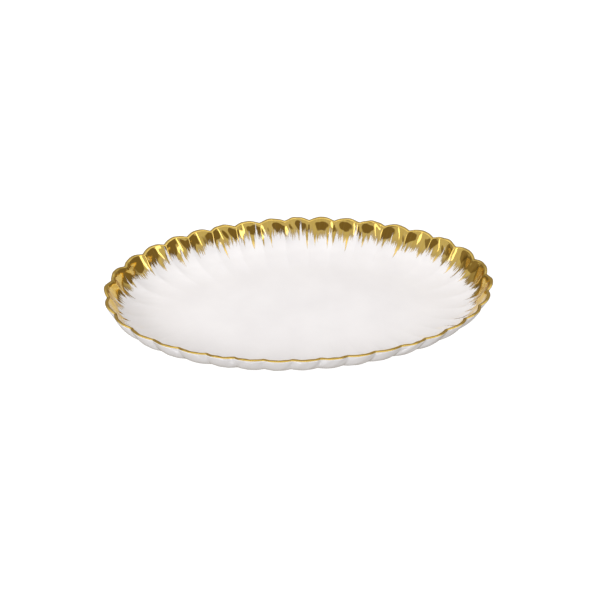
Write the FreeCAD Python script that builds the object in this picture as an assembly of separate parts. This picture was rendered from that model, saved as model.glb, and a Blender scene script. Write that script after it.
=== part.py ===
import FreeCAD, Part

import math
import os

# Fluted oval serving platter of glazed porcelain with a gilded, scalloped rim.
# Millimetres.  The origin is the middle of the oval on the plane that the foot rests on,
# +X runs along the length of the platter, +Y across it and +Z up.
#
# The wall is one curved section carried round an oval and pressed into petals.
# A place round the platter is counted in petals from the +X end, and a whole number is
# the notch between two petals.  A station is one ring of the platter: its inset from the
# oval of the lip, its height, and how far each petal swells outwards and upwards there.

# Size of the platter
LIP_HALF_LENGTH = 173.6
LIP_HALF_WIDTH = 101.5
DISH_DEPTH = 27.0
WALL_INSET = 64.0
WALL_THICKNESS = 3.4
FOOT_HEIGHT = 3.0
FOOT_WIDTH = 4.5
FOOT_PLACE = 0.84
FOOT_ROUNDING = 1.0

# Shape of the wall's section: the steep upturned rim, then the knee, then the easy slope
RIM_PULL_INSET = 6.0
RIM_PULL_DROP = 14.0
KNEE_INSET = 12.0
SLOPE_INSET = 35.0

# Petals
PETALS = 36
PETAL_DEPTH = 4.0
PETAL_FADE = 1.6
PETAL_TIP_RISE = 3.3
TIP_RISE_FADE = 6

# Coats
GLAZE_THICKNESS = 0.3
DRY_FOOT_HEIGHT = 1.9
GOLD_THICKNESS = 0.12
GOLD_BAND_PLACE = 0.30
GOLD_OUTSIDE_ANGLE = 120.0

# Brush strokes that the gold ends in
STROKES_PER_PETAL = 4
STROKE_GAP = 0.12
STROKE_TIP_WIDTH = 0.15
STROKE_SHORTEST = 0.05
STROKE_RANGE = 0.17
STROKE_RHYTHM = 2.4

# How finely the smooth faces are sampled
STEPS_ACROSS_PETAL = 4
STEPS_DOWN_WALL = 14
STEPS_ROUND_LIP = 6
STEPS_DOWN_STROKE = 3

COAT = WALL_THICKNESS / 2
BARE = COAT - GLAZE_THICKNESS
GILT = COAT + GOLD_THICKNESS
WELL_HEIGHT = FOOT_HEIGHT + COAT
UNDERSIDE_HEIGHT = WELL_HEIGHT - BARE
CREST = 90.0
LIP = Part.Ellipse(FreeCAD.Vector(0, 0, 0), LIP_HALF_LENGTH, LIP_HALF_WIDTH)
SECTION = Part.BezierCurve()
SECTION.setPoles([
    FreeCAD.Vector(0, WELL_HEIGHT + DISH_DEPTH, 0),
    FreeCAD.Vector(RIM_PULL_INSET, WELL_HEIGHT + DISH_DEPTH - RIM_PULL_DROP, 0),
    FreeCAD.Vector(KNEE_INSET, WELL_HEIGHT, 0),
    FreeCAD.Vector(SLOPE_INSET, WELL_HEIGHT, 0),
    FreeCAD.Vector(WALL_INSET, WELL_HEIGHT, 0),
])


def spread(first, last, steps):
    """Evenly spaced values from first to last, both included."""
    return [first + (last - first) * step / steps for step in range(steps + 1)]


def petal_swell(place):
    """Height of a petal's rounded crown at a place: 0 at its notches and 1 in its middle."""
    part = place % 1.0
    return 4.0 * part * (1.0 - part)


def section_frame(depth):
    """Middle of the wall's thickness, the way down the wall, and the way into the dish."""
    middle = SECTION.value(depth)
    down = FreeCAD.Vector(SECTION.tangent(depth)[0])
    into_dish = FreeCAD.Vector(-down.y, down.x, 0)
    return middle, down, into_dish


def swelling(depth):
    """How far the middle of a petal stands outwards and upwards at a depth down the wall."""
    into_dish = section_frame(depth)[2]
    scoop = PETAL_DEPTH * (1.0 - depth) ** PETAL_FADE
    rise = PETAL_TIP_RISE * (1.0 - depth) ** TIP_RISE_FADE
    return scoop * into_dish.x, rise - scoop * into_dish.y


def wall_station(depth, offset):
    """Ring on the wall; depth is 0 at the lip and 1 at the well, offset leads into the dish."""
    middle, down, into_dish = section_frame(depth)
    point = middle + into_dish * offset
    return (point.x, point.y) + swelling(depth)


def lip_station(degrees, radius):
    """Ring on the rounded lip, from 0 on the dish side over the crest to 180 outside."""
    middle, down, into_dish = section_frame(0)
    turn = math.radians(degrees)
    point = middle + into_dish * (radius * math.cos(turn)) - down * (radius * math.sin(turn))
    return (point.x, point.y) + swelling(0)


def plain_station(inset, height):
    """Ring without petals."""
    return inset, height, 0.0, 0.0


def wall_stations(first, last, offset):
    return [wall_station(depth, offset) for depth in spread(first, last, STEPS_DOWN_WALL)]


def lip_stations(first, last, radius):
    return [lip_station(angle, radius) for angle in spread(first, last, STEPS_ROUND_LIP)]


def ring_point(station, place):
    """Point of a ring at a place round the platter."""
    inset, height, outwards, upwards = station
    angle = LIP.parameterAtDistance(LIP.length() * (place % PETALS) / PETALS, 0)
    spoke = FreeCAD.Vector(math.cos(angle), math.sin(angle), 0)
    square = FreeCAD.Vector(LIP_HALF_WIDTH * spoke.x, LIP_HALF_LENGTH * spoke.y, 0).normalize()
    swell = petal_swell(place)
    point = LIP.value(angle) - spoke * inset + square * (outwards * swell)
    point.z = height + upwards * swell
    return point


def petal_points(station, petal):
    """Points of a ring across one petal, from notch to notch."""
    return [ring_point(station, place) for place in spread(petal, petal + 1, STEPS_ACROSS_PETAL)]


def smooth_curve(points):
    curve = Part.BSplineCurve()
    curve.interpolate(Points=points, Parameters=[float(index) for index in range(len(points))])
    return curve


def smooth_face(rows):
    """Smooth face through rows of points; faces that share a row or an end share that edge."""
    across = [smooth_curve(row) for row in rows]
    along = [smooth_curve(list(column)) for column in zip(*[curve.getPoles() for curve in across])]
    surface = Part.BSplineSurface()
    surface.buildFromPolesMultsKnots(
        [curve.getPoles() for curve in along],
        across[0].getMultiplicities(),
        along[0].getMultiplicities(),
        across[0].getKnots(),
        along[0].getKnots(),
        False,
        False,
        across[0].Degree,
        along[0].Degree,
    )
    return surface.toShape()


def ring_faces(stations):
    """Faces all round the platter through neighbouring stations, one for each petal."""
    return [
        smooth_face([petal_points(station, petal) for station in stations])
        for petal in range(PETALS)
    ]


def ring_wire(station):
    return Part.Wire([
        smooth_curve(petal_points(station, petal)).toShape() for petal in range(PETALS)
    ])


def level_face(outline, *holes):
    """Flat face inside a level ring, less the rings inside it."""
    return Part.Face([ring_wire(station) for station in (outline,) + holes])


def closed_solid(faces):
    """Solid inside faces that meet edge to edge."""
    skin = Part.makeShell(faces)
    skin.sewShape()
    solid = Part.makeSolid(skin)
    if solid.Volume < 0:
        solid.reverse()
    return solid


def coat_faces(outside, inside):
    """Faces of a layer between two runs of zones, closed where the runs end."""
    faces = []
    for zone in outside + inside:
        faces += ring_faces(zone)
    faces += ring_faces([outside[-1][-1], inside[-1][-1]])
    return faces


def well_rim(offset):
    return wall_station(1.0, offset)


def foot_sides():
    """The foot ring's outer side from the wall down, and its inner side from the flat up."""
    outer = wall_station(FOOT_PLACE, -BARE)
    inner_inset = outer[0] + FOOT_WIDTH
    outer_round = rounding(outer[0] + FOOT_ROUNDING, -1)
    inner_round = rounding(inner_inset - FOOT_ROUNDING, 1)[::-1]
    outside = [[outer, outer_round[0]], outer_round]
    inside = [inner_round, [inner_round[-1], plain_station(inner_inset, UNDERSIDE_HEIGHT)]]
    return outside, inside


def rounding(inset, side):
    """Quarter round at the bottom of the foot, from its side to its flat."""
    return [
        plain_station(
            inset + side * FOOT_ROUNDING * math.cos(turn),
            FOOT_ROUNDING * (1.0 - math.sin(turn)),
        )
        for turn in spread(0, math.pi / 2, STEPS_ROUND_LIP)
    ]


def porcelain_body():
    """Bisque body: fluted wall, rounded lip, flat well and foot ring in one piece."""
    outside, inside = foot_sides()
    zones = [
        wall_stations(1.0, 0.0, BARE),
        lip_stations(0.0, 180.0, BARE),
        wall_stations(0.0, FOOT_PLACE, -BARE),
    ] + outside + inside
    resting_face = level_face(outside[-1][-1], inside[0][0])
    faces = [level_face(well_rim(BARE)), level_face(inside[-1][-1]), resting_face]
    for zone in zones:
        faces += ring_faces(zone)
    return closed_solid(faces)


def face_glaze():
    """Glaze over the eating face, from the middle of the well to the crest of the lip."""
    outside = [wall_stations(1.0, 0.0, COAT), lip_stations(0.0, CREST, COAT)]
    inside = [wall_stations(1.0, 0.0, BARE), lip_stations(0.0, CREST, BARE)]
    discs = [level_face(well_rim(COAT)), level_face(well_rim(BARE))]
    return closed_solid(coat_faces(outside, inside) + discs)


def back_glaze():
    """Glaze over the back of the wall, from the crest of the lip down the side of the foot."""
    inner_wall = wall_stations(0.0, FOOT_PLACE, -BARE)
    foot_inset = inner_wall[-1][0]
    outer_wall = wall_stations(0.0, FOOT_PLACE, -COAT)
    corner = outer_wall[-1]
    outer_wall[-1] = (foot_inset - GLAZE_THICKNESS,) + corner[1:]
    outer_foot = [outer_wall[-1], plain_station(foot_inset - GLAZE_THICKNESS, DRY_FOOT_HEIGHT)]
    inner_foot = [inner_wall[-1], plain_station(foot_inset, DRY_FOOT_HEIGHT)]
    outside = [lip_stations(CREST, 180.0, COAT), outer_wall, outer_foot]
    inside = [lip_stations(CREST, 180.0, BARE), inner_wall, inner_foot]
    return closed_solid(coat_faces(outside, inside) + ring_faces([outside[0][0], inside[0][0]]))


def foot_well_glaze():
    """Glaze on the flat inside the foot ring."""
    inset = wall_station(FOOT_PLACE, -BARE)[0] + FOOT_WIDTH
    top = plain_station(inset, UNDERSIDE_HEIGHT)
    bottom = plain_station(inset, UNDERSIDE_HEIGHT - GLAZE_THICKNESS)
    return closed_solid([level_face(top), level_face(bottom)] + ring_faces([top, bottom]))


def gold_rim_band():
    """Unbroken gold from part way down the petals, over the lip to its outer edge."""
    outside, inside = [
        [wall_stations(GOLD_BAND_PLACE, 0.0, radius), lip_stations(0.0, GOLD_OUTSIDE_ANGLE, radius)]
        for radius in (GILT, COAT)
    ]
    return closed_solid(coat_faces(outside, inside) + ring_faces([outside[0][0], inside[0][0]]))


def stroke_rows(start, end, length, offset):
    """Rows of points down one tapering stroke."""
    middle = (start + end) / 2
    rows = []
    for part in spread(0.0, 1.0, STEPS_DOWN_STROKE):
        half = (end - start) / 2 * (1.0 - part * (1.0 - STROKE_TIP_WIDTH))
        station = wall_station(GOLD_BAND_PLACE + length * part, offset)
        places = spread(middle - half, middle + half, 2)
        rows.append([ring_point(station, place) for place in places])
    return rows


def gold_stroke(start, end, length):
    """One brush stroke of gold, lying on the glaze."""
    top = stroke_rows(start, end, length, GILT)
    bottom = stroke_rows(start, end, length, COAT)
    faces = [smooth_face(top), smooth_face(bottom)]
    for side in (0, -1):
        faces.append(smooth_face([top[side], bottom[side]]))
        faces.append(smooth_face([[row[side] for row in top], [row[side] for row in bottom]]))
    return closed_solid(faces)


def gold_brush_strokes():
    """The uneven strokes that the gold ends in, several in each petal."""
    pitch = 1.0 / STROKES_PER_PETAL
    strokes = []
    for index in range(PETALS * STROKES_PER_PETAL):
        start = (index + STROKE_GAP) * pitch
        end = (index + 1 - STROKE_GAP) * pitch
        unevenness = math.sin(STROKE_RHYTHM * index * index) ** 2
        strokes.append(gold_stroke(start, end, STROKE_SHORTEST + STROKE_RANGE * unevenness))
    return Part.makeCompound(strokes)


os.makedirs("parts", exist_ok=True)
for make_part in (
    porcelain_body,
    face_glaze,
    back_glaze,
    foot_well_glaze,
    gold_rim_band,
    gold_brush_strokes,
):
    make_part().exportStep("parts/" + make_part.__name__ + ".step")
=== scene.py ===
import math

import bmesh
import bpy
import numpy as np
from mathutils import Matrix, Vector


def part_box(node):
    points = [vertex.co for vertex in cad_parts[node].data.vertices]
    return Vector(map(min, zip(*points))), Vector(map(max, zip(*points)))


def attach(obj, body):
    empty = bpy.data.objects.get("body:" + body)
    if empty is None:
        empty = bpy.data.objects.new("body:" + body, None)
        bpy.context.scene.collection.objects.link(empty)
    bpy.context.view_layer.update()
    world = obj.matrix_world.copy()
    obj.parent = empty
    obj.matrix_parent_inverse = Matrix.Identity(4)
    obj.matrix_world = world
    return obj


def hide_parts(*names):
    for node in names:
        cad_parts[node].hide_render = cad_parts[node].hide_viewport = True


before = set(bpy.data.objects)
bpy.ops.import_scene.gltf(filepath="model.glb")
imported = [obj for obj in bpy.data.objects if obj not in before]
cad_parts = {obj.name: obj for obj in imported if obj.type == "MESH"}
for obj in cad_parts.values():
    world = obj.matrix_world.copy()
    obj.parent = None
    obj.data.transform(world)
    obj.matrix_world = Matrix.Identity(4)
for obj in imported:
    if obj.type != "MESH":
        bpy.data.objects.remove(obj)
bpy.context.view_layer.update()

# Fluted porcelain platter with a gilded edge, in metres, in the frame's own axes:
# +X along the platter, +Y across it, +Z up, and the foot on z = 0.
#
# A place round the platter is counted in petals from its +X end; whole numbers are notches.
# A depth runs down the wall, from 0 at the lip to 1 at the edge of the flat well.
# An angle turns from the dish side of the wall (0) over the lip to its back (180).

# ---------------------------------------------------------------- sizes from the frame
body_low, body_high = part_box("porcelain_body")
DESIGN_LENGTH = 355.79
MM = (body_high.x - body_low.x) / DESIGN_LENGTH

LIP_HALF_LENGTH = 173.6 * MM
LIP_HALF_WIDTH = 101.5 * MM
DISH_DEPTH = 27.0 * MM
RIM_PULL_INSET = 6.0 * MM
RIM_PULL_DROP = 14.0 * MM
KNEE_INSET = 12.0 * MM
SLOPE_INSET = 35.0 * MM
WALL_INSET = 64.0 * MM
WALL_THICKNESS = 3.4 * MM
FOOT_HEIGHT = 3.0 * MM
FOOT_WIDTH = 4.5 * MM
FOOT_ROUNDING = 1.0 * MM
FOOT_FILLET = 0.8 * MM
FOOT_PLACE = 0.84
DRY_FOOT = 1.9 * MM
GLAZE = 0.3 * MM
GOLD = 0.12 * MM
MENISCUS = 1.2 * MM

# How far the glaze, the glaze round the foot and the gold reach into what they lie on
GLAZE_OVERLAP = 0.1 * MM
FOOT_OVERLAP = 0.2 * MM
GOLD_OVERLAP = 0.25 * MM

HALF_WALL = WALL_THICKNESS / 2
WELL_HEIGHT = FOOT_HEIGHT + HALF_WALL
BARE = HALF_WALL - GLAZE
# Control points of the wall's middle line from the lip to the well, as (inset, height)
SECTION = np.array([
    (0.0, WELL_HEIGHT + DISH_DEPTH),
    (RIM_PULL_INSET, WELL_HEIGHT + DISH_DEPTH - RIM_PULL_DROP),
    (KNEE_INSET, WELL_HEIGHT),
    (SLOPE_INSET, WELL_HEIGHT),
    (WALL_INSET, WELL_HEIGHT),
])

# The petals fade a little faster down the wall here than in the CAD part
PETALS = 36
PETAL_DEPTH = 4.0 * MM
PETAL_TIP_RISE = 3.3 * MM
PETAL_FADE = 2.1
TIP_RISE_FADE = 6
NOTCH_ROUNDING = 0.03
PETAL_UNEVENNESS = 0.06

# The CAD part's lip is a half round; this one is squared, levelled and rolled outwards
LIP_UNEVENNESS = 0.25 * MM
LIP_SQUARENESS = 0.75
LIP_FLATNESS = 0.80
LIP_LEVELLING = 0.27
LIP_ROLL = 0.45 * MM
ROLL_DEPTH = 0.055

# Waves round the platter, radians of wave down the wall, and degrees over the lip to a radian
RIPPLE = 0.13 * MM
RIPPLE_WAVES = 6
RIPPLES_ROUND = (30, 110)
RIPPLES_DOWN = (10.0, 30.0)
RIPPLE_OVER_LIP = 60.0

# Points measured along the oval and down the wall
OVAL_STEPS = 7201
WALL_STEPS = 2001

rng = np.random.default_rng(36)


# ---------------------------------------------------------------- shape of the platter
def oval_angles(place):
    """Oval parameter at places spaced evenly along the rim."""
    turn = np.linspace(0.0, 2.0 * np.pi, OVAL_STEPS)
    speed = np.hypot(LIP_HALF_LENGTH * np.sin(turn), LIP_HALF_WIDTH * np.cos(turn))
    steps = (speed[1:] + speed[:-1]) / 2.0 * (turn[1] - turn[0])
    length = np.concatenate([[0.0], np.cumsum(steps)])
    return np.interp(np.mod(place, PETALS) / PETALS * length[-1], length, turn)


def around(values, place):
    """One value for each petal, blended smoothly from petal to petal."""
    where = np.mod(place - 0.5, PETALS)
    index = np.floor(where).astype(int)
    part = where - index
    part = part * part * (3.0 - 2.0 * part)
    return values[index % PETALS] * (1.0 - part) + values[(index + 1) % PETALS] * part


petal_size = 1.0 + PETAL_UNEVENNESS * rng.uniform(-1.0, 1.0, PETALS)
lip_lift = LIP_UNEVENNESS * rng.uniform(-1.0, 1.0, PETALS)
ripple_waves = [
    (rng.integers(*RIPPLES_ROUND), rng.uniform(*RIPPLES_DOWN), rng.uniform(0.0, 2.0 * np.pi))
    for _ in range(RIPPLE_WAVES)
]


def petal_swell(place):
    """Rounded crown of a petal, with its notch softened by the glaze."""
    to_notch = np.abs(np.mod(place + 0.5, 1.0) - 0.5)
    soft = np.hypot(to_notch, NOTCH_ROUNDING)
    return 4.0 * soft * (1.0 - soft) * around(petal_size, place)


def section_frame(depth):
    """Middle of the wall's thickness and the way down it, as (inset, height) pairs."""
    depth = np.asarray(depth, float)[..., None]
    up = 1.0 - depth
    order = len(SECTION) - 1
    middle = sum(
        math.comb(order, k) * up ** (order - k) * depth ** k * SECTION[k]
        for k in range(order + 1)
    )
    down = sum(
        math.comb(order - 1, k) * up ** (order - 1 - k) * depth ** k * (SECTION[k + 1] - SECTION[k])
        for k in range(order)
    )
    return middle, down / np.linalg.norm(down, axis=-1, keepdims=True)


def ripple(place, depth, angle):
    """Faint hand-finished waviness of the surface."""
    turn = place / PETALS * 2.0 * np.pi
    total = sum(
        np.sin(count * turn + along * depth + angle / RIPPLE_OVER_LIP + phase)
        for count, along, phase in ripple_waves
    )
    return RIPPLE * total / math.sqrt(len(ripple_waves)) * (1.0 - depth) ** 2


def skin(place, depth, angle, radius):
    """Points of a surface at a radius from the middle of the wall."""
    place, depth, angle, radius = np.broadcast_arrays(
        *[np.asarray(value, float) for value in (place, depth, angle, radius)]
    )
    middle, down = section_frame(depth)
    into_dish = np.stack([-down[..., 1], down[..., 0]], axis=-1)
    turn = np.radians(angle)[..., None]
    reach = (radius + ripple(place, depth, angle))[..., None]
    across = np.sign(np.cos(turn)) * np.abs(np.cos(turn)) ** LIP_SQUARENESS
    over = LIP_FLATNESS * np.sin(turn) ** LIP_SQUARENESS - LIP_LEVELLING * np.sin(2.0 * turn)
    dish_side = np.clip(np.cos(np.radians(angle)), 0.0, 1.0)
    roll = LIP_ROLL * np.clip(1.0 - depth / ROLL_DEPTH, 0.0, 1.0) ** 2 * dish_side
    point = middle + into_dish * (reach * across - roll[..., None]) - down * reach * over
    scoop = PETAL_DEPTH * (1.0 - depth) ** PETAL_FADE
    rise = PETAL_TIP_RISE * (1.0 - depth) ** TIP_RISE_FADE
    swell = petal_swell(place)
    outwards = scoop * into_dish[..., 0] * swell
    upwards = (rise - scoop * into_dish[..., 1]) * swell
    upwards = upwards + around(lip_lift, place) * (1.0 - depth) ** 2
    return ring(place, point[..., 0], point[..., 1] + upwards, outwards)


def ring(place, inset, height, outwards=0.0):
    """Points at an inset from the oval of the lip, pushed outwards square to it."""
    place, inset, height, outwards = np.broadcast_arrays(place, inset, height, outwards)
    turn = oval_angles(place)
    along, across = np.cos(turn), np.sin(turn)
    square_x, square_y = LIP_HALF_WIDTH * along, LIP_HALF_LENGTH * across
    length = np.hypot(square_x, square_y)
    return np.stack([
        (LIP_HALF_LENGTH - inset) * along + outwards * square_x / length,
        (LIP_HALF_WIDTH - inset) * across + outwards * square_y / length,
        height,
    ], axis=-1)


wall_depths = np.linspace(0.0, 1.0, WALL_STEPS)
wall_middles = section_frame(wall_depths)[0]
wall_lengths = np.concatenate([
    [0.0], np.cumsum(np.linalg.norm(np.diff(wall_middles, axis=0), axis=1))
])


def depth_at(length):
    """Depth at a length measured down the wall from the lip."""
    return np.interp(length, wall_lengths, wall_depths)


# ---------------------------------------------------------------- mesh helpers
SHARP_ANGLE = math.radians(50.0)


def petal_columns(per_petal, crowding):
    """Places of the mesh's columns, crowded towards the notches."""
    even = np.arange(per_petal) / per_petal
    one_petal = even - crowding * np.sin(2.0 * np.pi * even) / (2.0 * np.pi)
    return (np.arange(PETALS)[:, None] + one_petal[None, :]).ravel()


def rows_of(place, depths, angles, radius):
    """Rings of a skin, one for each depth and angle."""
    return skin(place[None, :], np.asarray(depths)[:, None], np.asarray(angles)[:, None], radius)


def shrink(ring_points, scales):
    """Copies of a ring drawn in towards the middle of the platter."""
    factor = np.array([1.0, 1.0, 0.0]) * np.asarray(scales, float)[:, None, None]
    return ring_points[None] * (factor + np.array([0.0, 0.0, 1.0]))


def closed_rings(name, rings, tube, uv_layers=None):
    """Closed mesh through rings: a tube joins its last ring to its first, else both ends are filled."""
    rows, columns = rings.shape[:2]
    points = rings.reshape(-1, 3)
    row = np.arange(rows if tube else rows - 1)[:, None]
    column = np.arange(columns)[None, :]
    next_row, next_column = (row + 1) % rows, (column + 1) % columns
    quads = np.stack([
        row * columns + column,
        row * columns + next_column,
        next_row * columns + next_column,
        next_row * columns + column,
    ], axis=-1).reshape(-1, 4)
    faces = quads.tolist()
    if not tube:
        middles = [rings[0].mean(axis=0), rings[-1].mean(axis=0)]
        points = np.vstack([points, middles])
        last = (rows - 1) * columns
        for index in range(columns):
            following = (index + 1) % columns
            faces.append((rows * columns, following, index))
            faces.append((rows * columns + 1, last + index, last + following))
    mesh = bpy.data.meshes.new(name)
    mesh.from_pydata(points.tolist(), [], faces)
    for layer_name, uv in (uv_layers or {}).items():
        layer = mesh.uv_layers.new(name=layer_name)
        corners = np.zeros(len(mesh.loops), int)
        mesh.loops.foreach_get("vertex_index", corners)
        values = uv.reshape(-1, 2)[corners]
        # The last column's faces end at the first column, which is one whole turn further on
        wrapped = np.repeat(np.tile(column.ravel() == columns - 1, len(row)), 4)
        far_side = wrapped & (values[:, 0] < 1.0)
        values[far_side, 0] += PETALS
        layer.data.foreach_set("uv", values.ravel())
    shell = bmesh.new()
    shell.from_mesh(mesh)
    bmesh.ops.recalc_face_normals(shell, faces=shell.faces)
    shell.to_mesh(mesh)
    shell.free()
    mesh.shade_smooth()
    mesh.set_sharp_from_angle(angle=SHARP_ANGLE)
    piece = bpy.data.objects.new(name, mesh)
    bpy.context.scene.collection.objects.link(piece)
    return piece


def place_piece(piece, material, nodes):
    piece.data.materials.append(material)
    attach(piece, "root")
    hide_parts(*nodes)


# ---------------------------------------------------------------- node helpers
def new_material(name):
    material = bpy.data.materials.new(name)
    material.use_nodes = True
    return material, material.node_tree.nodes, material.node_tree.links


def noise(nodes, links, vector, scale, detail=2.0, roughness=0.5):
    texture = nodes.new("ShaderNodeTexNoise")
    texture.inputs["Scale"].default_value = scale
    texture.inputs["Detail"].default_value = detail
    texture.inputs["Roughness"].default_value = roughness
    links.new(vector, texture.inputs["Vector"])
    return texture.outputs["Fac"]


def stretched(nodes, links, vector, scale):
    mapping = nodes.new("ShaderNodeMapping")
    mapping.inputs["Scale"].default_value = scale
    links.new(vector, mapping.inputs["Vector"])
    return mapping.outputs["Vector"]


def remap(nodes, links, value, before, after):
    """A value moved from one (low, high) range to another, and kept inside it."""
    node = nodes.new("ShaderNodeMapRange")
    node.inputs["From Min"].default_value, node.inputs["From Max"].default_value = before
    node.inputs["To Min"].default_value, node.inputs["To Max"].default_value = after
    links.new(value, node.inputs["Value"])
    return node.outputs["Result"]


def combined(nodes, links, operation, first, second):
    node = nodes.new("ShaderNodeMath")
    node.operation = operation
    links.new(first, node.inputs[0])
    links.new(second, node.inputs[1])
    return node.outputs["Value"]


def colours(nodes, links, value, stops):
    ramp = nodes.new("ShaderNodeValToRGB")
    elements = ramp.color_ramp.elements
    while len(elements) < len(stops):
        elements.new(0.5)
    for element, (position, colour) in zip(elements, stops):
        element.position = position
        element.color = (*colour, 1.0)
    links.new(value, ramp.inputs["Fac"])
    return ramp.outputs["Color"]


def blended(nodes, links, share, colour, other):
    """A plain colour where the share is 0, and the other input where it is 1."""
    mix = nodes.new("ShaderNodeMix")
    mix.data_type = "RGBA"
    factor, plain, second = mix.inputs[0], mix.inputs[6], mix.inputs[7]
    links.new(share, factor)
    plain.default_value = (*colour, 1.0)
    links.new(other, second)
    return mix.outputs[2]


def bump(nodes, links, height, distance, normal=None):
    node = nodes.new("ShaderNodeBump")
    node.inputs["Distance"].default_value = distance
    links.new(height, node.inputs["Height"])
    if normal is not None:
        links.new(normal, node.inputs["Normal"])
    return node.outputs["Normal"]


# ---------------------------------------------------------------- materials
MIDDLE_NOISE = (0.3, 0.7)
BARE_GLAZE = (0.82, 0.80, 0.79)
THIN_GOLD = (0.60, 0.44, 0.20)
# Gold is worn away where its noise is under a level, which falls from a stroke's end upwards
WORN_LEVELS = (0.60, 0.18)
WORN_EDGE = (-0.03, 0.05)
THIN_END = 0.1


def glaze_material():
    """Clear glossy glaze over warm white porcelain, a little thicker and cooler in patches."""
    material, nodes, links = new_material("white_glaze")
    shader = nodes["Principled BSDF"]
    spot = nodes.new("ShaderNodeTexCoord").outputs["Object"]
    patches = noise(nodes, links, spot, scale=28.0, detail=3.0)
    tone = colours(nodes, links, patches, [
        (0.30, (0.800, 0.781, 0.788)),
        (0.70, (0.840, 0.822, 0.828)),
    ])
    links.new(tone, shader.inputs["Base Color"])
    haze = noise(nodes, links, spot, scale=60.0)
    roughness = remap(nodes, links, haze, MIDDLE_NOISE, (0.10, 0.17))
    links.new(roughness, shader.inputs["Roughness"])
    shader.inputs["IOR"].default_value = 1.52
    shader.inputs["Coat Weight"].default_value = 0.25
    shader.inputs["Coat Roughness"].default_value = 0.04
    orange_peel = noise(nodes, links, spot, scale=420.0)
    swells = noise(nodes, links, spot, scale=70.0, detail=1.0)
    fine = bump(nodes, links, orange_peel, distance=0.00002)
    links.new(bump(nodes, links, swells, distance=0.00010, normal=fine), shader.inputs["Normal"])
    return material


def bisque_material():
    """Dry fired clay of the foot: matt, warm, with fine grog."""
    material, nodes, links = new_material("bisque")
    shader = nodes["Principled BSDF"]
    spot = nodes.new("ShaderNodeTexCoord").outputs["Object"]
    grains = noise(nodes, links, spot, scale=900.0, detail=4.0, roughness=0.65)
    tone = colours(nodes, links, grains, [
        (0.32, (0.52, 0.46, 0.39)),
        (0.45, (0.72, 0.67, 0.60)),
        (0.75, (0.78, 0.74, 0.67)),
    ])
    links.new(tone, shader.inputs["Base Color"])
    roughness = remap(nodes, links, grains, MIDDLE_NOISE, (0.92, 0.78))
    links.new(roughness, shader.inputs["Roughness"])
    links.new(bump(nodes, links, grains, distance=0.00008), shader.inputs["Normal"])
    return material


def gold_material():
    """Fired-on bright gold, brushed on down the flutes and worn to bristle marks at its ends."""
    material, nodes, links = new_material("mirror_gold")
    shader = nodes["Principled BSDF"]
    strokes = nodes.new("ShaderNodeUVMap")
    strokes.uv_map = "strokes"
    along = strokes.outputs["UV"]
    wide = stretched(nodes, links, along, (15.0, 1.2, 1.0))
    streaks = noise(nodes, links, wide, scale=1.0, detail=3.0)
    narrow = stretched(nodes, links, along, (64.0, 2.2, 1.0))
    hairs = noise(nodes, links, narrow, scale=1.0, detail=3.0, roughness=0.6)
    tone = colours(nodes, links, streaks, [
        (0.30, (0.76, 0.515, 0.100)),
        (0.55, (0.80, 0.555, 0.125)),
        (0.78, (0.86, 0.640, 0.210)),
    ])
    ends = nodes.new("ShaderNodeUVMap")
    ends.uv_map = "ends"
    parts = nodes.new("ShaderNodeSeparateXYZ")
    links.new(ends.outputs["UV"], parts.inputs["Vector"])
    from_end = parts.outputs["Y"]
    wear = remap(nodes, links, from_end, (0.0, 1.0), WORN_LEVELS)
    above = combined(nodes, links, "SUBTRACT", hairs, wear)
    cover = remap(nodes, links, above, WORN_EDGE, (0.0, 1.0))
    solid = remap(nodes, links, from_end, (THIN_END, 1.0), (0.0, 1.0))
    gold = blended(nodes, links, solid, THIN_GOLD, tone)
    links.new(blended(nodes, links, cover, BARE_GLAZE, gold), shader.inputs["Base Color"])
    links.new(cover, shader.inputs["Metallic"])
    shader.inputs["Coat Weight"].default_value = 0.6
    shader.inputs["Coat Roughness"].default_value = 0.03
    roughness = remap(nodes, links, streaks, (0.3, 0.75), (0.035, 0.085))
    links.new(roughness, shader.inputs["Roughness"])
    spot = nodes.new("ShaderNodeTexCoord").outputs["Object"]
    swells = noise(nodes, links, spot, scale=95.0, detail=1.0)
    brushed = bump(nodes, links, hairs, distance=0.000006)
    links.new(bump(nodes, links, swells, distance=0.0005, normal=brushed), shader.inputs["Normal"])
    return material


def floor_material():
    """Plain matt floor; most of its whiteness is its own even glow."""
    material, nodes, links = new_material("pale_floor")
    shader = nodes["Principled BSDF"]
    spot = nodes.new("ShaderNodeTexCoord").outputs["Object"]
    patches = noise(nodes, links, spot, scale=3.0)
    tone = colours(nodes, links, patches, [
        (0.3, (0.33, 0.33, 0.33)),
        (0.7, (0.35, 0.35, 0.35)),
    ])
    links.new(tone, shader.inputs["Base Color"])
    shader.inputs["Roughness"].default_value = 1.0
    shader.inputs["Specular IOR Level"].default_value = 0.0
    shader.inputs["Emission Color"].default_value = (1.0, 1.0, 1.0, 1.0)
    shader.inputs["Emission Strength"].default_value = 0.80
    return material


# ---------------------------------------------------------------- pieces
COLUMNS = petal_columns(20, 0.6)
WALL_ROWS = 38
LIP_ROWS = 12
HIDDEN_ROWS = 12
FILLET_ROWS = 5
ROUNDING_ROWS = 6
WELL_SCALES = (0.97, 0.9, 0.75, 0.5, 0.2)


def dish_run(radius, wall_rows, lip_rows):
    """Rings from the middle of the well up the wall and over the lip to the side of the foot."""
    down_in = np.linspace(1.0, 0.0, wall_rows)
    over = np.linspace(0.0, 180.0, lip_rows + 1)
    down_out = np.linspace(0.0, FOOT_PLACE, wall_rows)
    inside = rows_of(COLUMNS, down_in, np.zeros(wall_rows), radius)
    lip = rows_of(COLUMNS, np.zeros(lip_rows - 1), over[1:-1], radius)
    outside = rows_of(COLUMNS, down_out, np.full(wall_rows, 180.0), radius)
    return np.concatenate([shrink(inside[0], WELL_SCALES)[::-1], inside, lip, outside])


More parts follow.
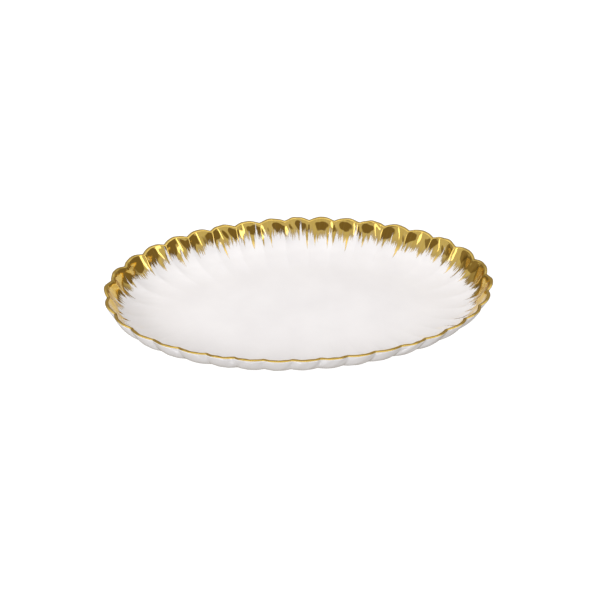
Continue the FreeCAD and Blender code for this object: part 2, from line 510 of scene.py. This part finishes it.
foot_inset = float(section_frame(FOOT_PLACE)[0][0])


def foot_rings(side_inset, lowest):
    """Rings that turn from the wall down the outer side of the foot."""
    turn = np.linspace(0.0, np.pi / 2.0, FILLET_ROWS)[1:]
    wall_height = WELL_HEIGHT - HALF_WALL
    insets = side_inset - FOOT_FILLET + FOOT_FILLET * np.sin(turn)
    heights = wall_height - FOOT_FILLET + FOOT_FILLET * np.cos(turn)
    insets = np.append(insets, side_inset)
    heights = np.append(heights, lowest)
    return ring(COLUMNS[None, :], insets[:, None], heights[:, None])


def make_porcelain_body(material):
    run = dish_run(BARE, WALL_ROWS, LIP_ROWS)
    quarter = np.linspace(0.0, np.pi / 2.0, ROUNDING_ROWS)
    inner = foot_inset + FOOT_WIDTH
    insets = np.concatenate([
        foot_inset + FOOT_ROUNDING * (1.0 - np.cos(quarter)),
        inner - FOOT_ROUNDING * (1.0 - np.cos(quarter[::-1])),
        [inner],
    ])
    heights = np.concatenate([
        FOOT_ROUNDING * (1.0 - np.sin(quarter)),
        FOOT_ROUNDING * (1.0 - np.sin(quarter[::-1])),
        [WELL_HEIGHT - BARE],
    ])
    foot = ring(COLUMNS[None, :], insets[:, None], heights[:, None])
    underside = shrink(foot[-1], WELL_SCALES)
    piece = closed_rings("porcelain_body_bisque", np.concatenate([run, foot, underside]), False)
    place_piece(piece, material, ["porcelain_body"])


def make_glaze_coat(material):
    outer = dish_run(HALF_WALL, WALL_ROWS, LIP_ROWS)
    inner = dish_run(BARE - GLAZE_OVERLAP, HIDDEN_ROWS, LIP_ROWS // 2)
    outer_foot = foot_rings(foot_inset - GLAZE, DRY_FOOT)
    inner_foot = ring(COLUMNS[None, :], np.full((1, 1), foot_inset + FOOT_OVERLAP), DRY_FOOT)
    rings = np.concatenate([outer, outer_foot, inner_foot, inner[::-1]])
    piece = closed_rings("glaze_coat", rings, False)
    place_piece(piece, material, ["face_glaze", "back_glaze"])


def make_foot_well_glaze(material):
    """Glaze inside the foot ring, with a meniscus where it climbs the ring."""
    low = WELL_HEIGHT - BARE - GLAZE
    edge = foot_inset + FOOT_WIDTH
    turn = np.linspace(0.0, np.pi / 2.0, ROUNDING_ROWS)
    insets = edge - FOOT_OVERLAP + MENISCUS * (1.0 - np.cos(turn))
    heights = low - MENISCUS * (1.0 - np.sin(turn))
    below = ring(COLUMNS[None, :], insets[:, None], heights[:, None])
    top = low + GLAZE + FOOT_OVERLAP
    above = ring(COLUMNS[None, :], np.full((1, 1), edge - FOOT_OVERLAP), top)
    rings = np.concatenate([
        shrink(below[-1], WELL_SCALES)[::-1],
        below[::-1],
        above,
        shrink(above[0], WELL_SCALES),
    ])
    piece = closed_rings("foot_well_glaze_pool", rings, False)
    place_piece(piece, material, ["foot_well_glaze"])


# Gold: its mesh, its brush strokes and how far it reaches down the wall
GOLD_PER_PETAL = 60
GOLD_WALL_ROWS = 24
GOLD_LIP_ROWS = 10
GOLD_COLUMNS = np.arange(PETALS * GOLD_PER_PETAL) / GOLD_PER_PETAL
BAND_LENGTH = 9.5 * MM
PETAL_DAB = 4.0 * MM
PETAL_DAB_RANGE = (0.4, 1.5)
END_DAB = 5.0 * MM
SHORTEST_GOLD = 3.0 * MM
WORN_LENGTH = 9.0 * MM
UV_LENGTH = 25.0 * MM
GOLD_BACK_ANGLE = 138.0
STROKE_LEAN = 0.16
LEAN_START = 0.2
STROKE_SCATTER = 0.4
SHORT_STROKE_BIAS = 1.8


def teeth(place, count, widths, lengths, sharpness):
    """Longest of many tapering strokes at each place; most of them are nearer the shortest."""
    centres = (np.arange(count) + rng.uniform(-STROKE_SCATTER, STROKE_SCATTER, count)) * PETALS / count
    half = rng.uniform(*widths, count) / 2.0
    share = rng.uniform(0.0, 1.0, count) ** SHORT_STROKE_BIAS
    reach = share * (lengths[1] - lengths[0]) + lengths[0]
    result = np.zeros_like(place)
    for centre, width, length in zip(centres, half, reach):
        away = np.abs(np.mod(place - centre + PETALS / 2.0, PETALS) - PETALS / 2.0)
        tooth = length * np.clip(1.0 - away / width, 0.0, 1.0) ** sharpness
        result = np.maximum(result, tooth)
    return result


def gold_reach(place):
    """Length of the gold below the lip at each place."""
    dab = PETAL_DAB * petal_swell(place) * around(rng.uniform(*PETAL_DAB_RANGE, PETALS), place)
    dab = dab + END_DAB * np.cos(oval_angles(place)) ** 2
    wide = teeth(
        place, count=100, widths=(0.20, 0.45), lengths=(1.0 * MM, 7.0 * MM), sharpness=0.8,
    )
    spikes = teeth(
        place, count=84, widths=(0.09, 0.22), lengths=(2.0 * MM, 17.0 * MM), sharpness=1.0,
    )
    bristles = teeth(
        place, count=560, widths=(0.04, 0.09), lengths=(0.5 * MM, 6.0 * MM), sharpness=0.9,
    )
    slivers = teeth(
        place, count=64, widths=(0.03, 0.11), lengths=(1.0 * MM, 12.0 * MM), sharpness=0.6,
    )
    reach = BAND_LENGTH + dab + np.maximum(wide, spikes) + bristles - slivers
    return np.maximum(reach, SHORTEST_GOLD)


def make_gold(material):
    place = GOLD_COLUMNS
    reach = gold_reach(place)
    lean = around(rng.uniform(-STROKE_LEAN, STROKE_LEAN, PETALS), place)
    part = np.linspace(0.0, 1.0, GOLD_WALL_ROWS)[1:, None]
    over = np.linspace(GOLD_BACK_ANGLE, 0.0, GOLD_LIP_ROWS)[:, None]
    down_wall = part * reach[None, :]
    depth = depth_at(down_wall)
    wall_place = place[None, :] + lean[None, :] * np.clip(depth - LEAN_START, 0.0, None)
    top_radius = HALF_WALL + GOLD
    lip = skin(place[None, :], 0.0, over, top_radius)
    wall = skin(wall_place, depth, 0.0, top_radius)
    under = HALF_WALL - GOLD_OVERLAP
    hidden = slice(None, None, 3)  # the side towards the glaze has a third of the rings
    wall_under = skin(wall_place[::-1][hidden], depth[::-1][hidden], 0.0, under)
    lip_under = skin(place[None, :], 0.0, over[::-1][hidden], under)
    rings = np.concatenate([lip, wall, wall_under, lip_under])
    over_lip = np.broadcast_to(-np.radians(over) * top_radius, lip.shape[:2])
    lengths = np.concatenate([
        over_lip, down_wall, down_wall[::-1][hidden], over_lip[::-1][hidden],
    ])
    places = np.broadcast_to(place[None, :], lengths.shape)
    to_end = np.clip((reach[None, :] - lengths) / WORN_LENGTH, 0.0, 1.0)
    piece = closed_rings("gold_gilding", rings, True, {
        "strokes": np.stack([places, lengths / UV_LENGTH], axis=-1),
        "ends": np.stack([places, to_end], axis=-1),
    })
    place_piece(piece, material, ["gold_rim_band", "gold_brush_strokes"])


white_glaze = glaze_material()
make_porcelain_body(bisque_material())
make_glaze_coat(white_glaze)
make_foot_well_glaze(white_glaze)
make_gold(gold_material())


# ---------------------------------------------------------------- floor, light and camera
FLOOR_REACH = 20.0

# Tones of the studio's walls, dome and ground, and the elevations in degrees where they meet
WALL_LIGHT = 0.66
DOME_LIGHT = 1.28
BELOW_LIGHT = 0.84
WALL_TOP = 42.0
DOME_BOTTOM = 58.0
BELOW_TOP = -4.0

# A tone and its colour: dark tones are warm and bright ones nearly white
DARK_TINT = (0.22, (1.0, 0.80, 0.50))
BRIGHT_TINT = (0.50, (1.0, 0.99, 0.985))

# Panels standing round the platter: azimuth from the front and half width in degrees, the
# sine of the top's elevation (over 1 goes past the zenith), and the share of the walls'
# light that each gives; the shares over 1 are soft boxes
PANELS = (
    (-6.0, 31.0, 0.44, 0.33),
    (76.0, 25.0, 0.44, 0.33),
    (-90.0, 18.0, 0.34, 0.42),
    (45.0, 4.5, 0.50, 4.0),
    (-48.0, 4.5, 0.50, 3.6),
    (180.0, 80.0, 1.15, 0.58),
    (180.0, 78.0, 0.24, 0.55),
)
PANEL_SQUARENESS = 3.0
PANEL_BLUR = 0.12

# Lights aimed at the platter: name, place and size in metres, and power in watts
LIGHTS = (
    ("front_fill", (-0.9, -1.4, 0.90), (0.9, 0.6), 10.2),
    ("left_side", (-1.5, -0.1, 0.9), (0.8, 0.5), 4.5),
    ("right_side", (1.5, 0.3, 0.9), (0.6, 0.5), 0.8),
)


def sine(degrees):
    return math.sin(math.radians(degrees))


def make_floor():
    """Floor that neither lights the platter nor is mirrored in it."""
    mesh = bpy.data.meshes.new("floor")
    low, high = -FLOOR_REACH, FLOOR_REACH
    mesh.from_pydata(
        [(low, low, 0.0), (high, low, 0.0), (high, high, 0.0), (low, high, 0.0)],
        [],
        [(0, 1, 2, 3)],
    )
    mesh.materials.append(floor_material())
    floor = bpy.data.objects.new("floor", mesh)
    bpy.context.scene.collection.objects.link(floor)
    floor.visible_glossy = False
    floor.visible_diffuse = False


def panel_share(nodes, links, heading, height, panel):
    """The panel's share of the light inside its outline, and 1 outside it."""
    azimuth, half_width, top, share = panel
    facing = nodes.new("ShaderNodeVectorMath")
    facing.operation = "DOT_PRODUCT"
    links.new(heading, facing.inputs[0])
    facing.inputs[1].default_value = (sine(azimuth), -sine(90.0 - azimuth), 0.0)
    far_side = sine(90.0 - half_width * 2.0)
    side = sine(90.0 - half_width)
    beside = remap(
        nodes, links, facing.outputs["Value"],
        (far_side, 1.0), ((1.0 - far_side) / (1.0 - side), 0.0),
    )
    over = nodes.new("ShaderNodeMath")
    over.operation = "POWER"
    links.new(remap(nodes, links, height, (0.0, 1.0), (0.0, 1.0 / top)), over.inputs[0])
    over.inputs[1].default_value = PANEL_SQUARENESS
    outline = combined(nodes, links, "ADD", beside, over.outputs["Value"])
    return remap(nodes, links, outline, (1.0 - PANEL_BLUR, 1.0 + PANEL_BLUR), (share, 1.0))


def make_world():
    """White studio: bright dome over plain walls, with panels that only reflections show."""
    world = bpy.data.worlds.new("studio")
    bpy.context.scene.world = world
    world.use_nodes = True
    nodes, links = world.node_tree.nodes, world.node_tree.links
    way = nodes.new("ShaderNodeTexCoord").outputs["Generated"]
    parts = nodes.new("ShaderNodeSeparateXYZ")
    links.new(way, parts.inputs["Vector"])
    height = parts.outputs["Z"]
    level = nodes.new("ShaderNodeVectorMath")
    level.operation = "MULTIPLY"
    links.new(way, level.inputs[0])
    level.inputs[1].default_value = (1.0, 1.0, 0.0)
    heading = nodes.new("ShaderNodeVectorMath")
    heading.operation = "NORMALIZE"
    links.new(level.outputs["Vector"], heading.inputs[0])
    walls_to_dome = (sine(WALL_TOP), sine(DOME_BOTTOM))
    above = remap(nodes, links, height, walls_to_dome, (WALL_LIGHT, DOME_LIGHT))
    below = remap(nodes, links, height, (sine(BELOW_TOP), 0.0), (BELOW_LIGHT / WALL_LIGHT, 1.0))
    plain = combined(nodes, links, "MULTIPLY", above, below)
    panelled = plain
    for panel in PANELS:
        share = panel_share(nodes, links, heading.outputs["Vector"], height, panel)
        panelled = combined(nodes, links, "MULTIPLY", panelled, share)
    choice = nodes.new("ShaderNodeMix")
    in_reflections, unless, when = choice.inputs[0], choice.inputs[2], choice.inputs[3]
    links.new(nodes.new("ShaderNodeLightPath").outputs["Is Glossy Ray"], in_reflections)
    links.new(plain, unless)
    links.new(panelled, when)
    tone = choice.outputs[0]
    links.new(tone, nodes["Background"].inputs["Strength"])
    tint = colours(nodes, links, tone, [DARK_TINT, BRIGHT_TINT])
    links.new(tint, nodes["Background"].inputs["Color"])


def make_light(name, spot, size, power):
    """Soft rectangular light that lights the platter and doesn't show in it."""
    light = bpy.data.lights.new(name, "AREA")
    light.shape = "RECTANGLE"
    light.size, light.size_y = size
    light.energy = power
    lamp = bpy.data.objects.new(name, light)
    lamp.location = spot
    lamp.rotation_euler = (-Vector(spot)).to_track_quat("-Z", "Y").to_euler()
    lamp.visible_glossy = False
    bpy.context.scene.collection.objects.link(lamp)


CAMERA_AZIMUTH = math.radians(-11.36)
CAMERA_ELEVATION = math.radians(37.62)
CAMERA_ROLL = math.radians(-3.43)
CAMERA_DISTANCE = 1217.0 * MM
CAMERA_LENS = 79.95
CAMERA_SHIFT = (-0.0021, -0.0246)


def make_camera():
    back = Vector((
        math.sin(CAMERA_AZIMUTH) * math.cos(CAMERA_ELEVATION),
        -math.cos(CAMERA_AZIMUTH) * math.cos(CAMERA_ELEVATION),
        math.sin(CAMERA_ELEVATION),
    ))
    level_right = Vector((math.cos(CAMERA_AZIMUTH), math.sin(CAMERA_AZIMUTH), 0.0))
    level_up = back.cross(level_right)
    right = level_right * math.cos(CAMERA_ROLL) - level_up * math.sin(CAMERA_ROLL)
    up = level_right * math.sin(CAMERA_ROLL) + level_up * math.cos(CAMERA_ROLL)
    lip_centre = Vector((0.0, 0.0, WELL_HEIGHT + DISH_DEPTH + HALF_WALL))
    data = bpy.data.cameras.new("camera")
    data.lens = CAMERA_LENS
    data.sensor_width = 36.0
    data.shift_x, data.shift_y = CAMERA_SHIFT
    data.clip_start = 0.05
    camera = bpy.data.objects.new("camera", data)
    camera.matrix_world = Matrix.Translation(lip_centre + back * CAMERA_DISTANCE) @ Matrix((
        right, up, back
    )).transposed().to_4x4()
    bpy.context.scene.collection.objects.link(camera)
    bpy.context.scene.camera = camera


make_floor()
make_world()
for light_row in LIGHTS:
    make_light(*light_row)
make_camera()
bpy.context.scene.view_settings.view_transform = "Standard"
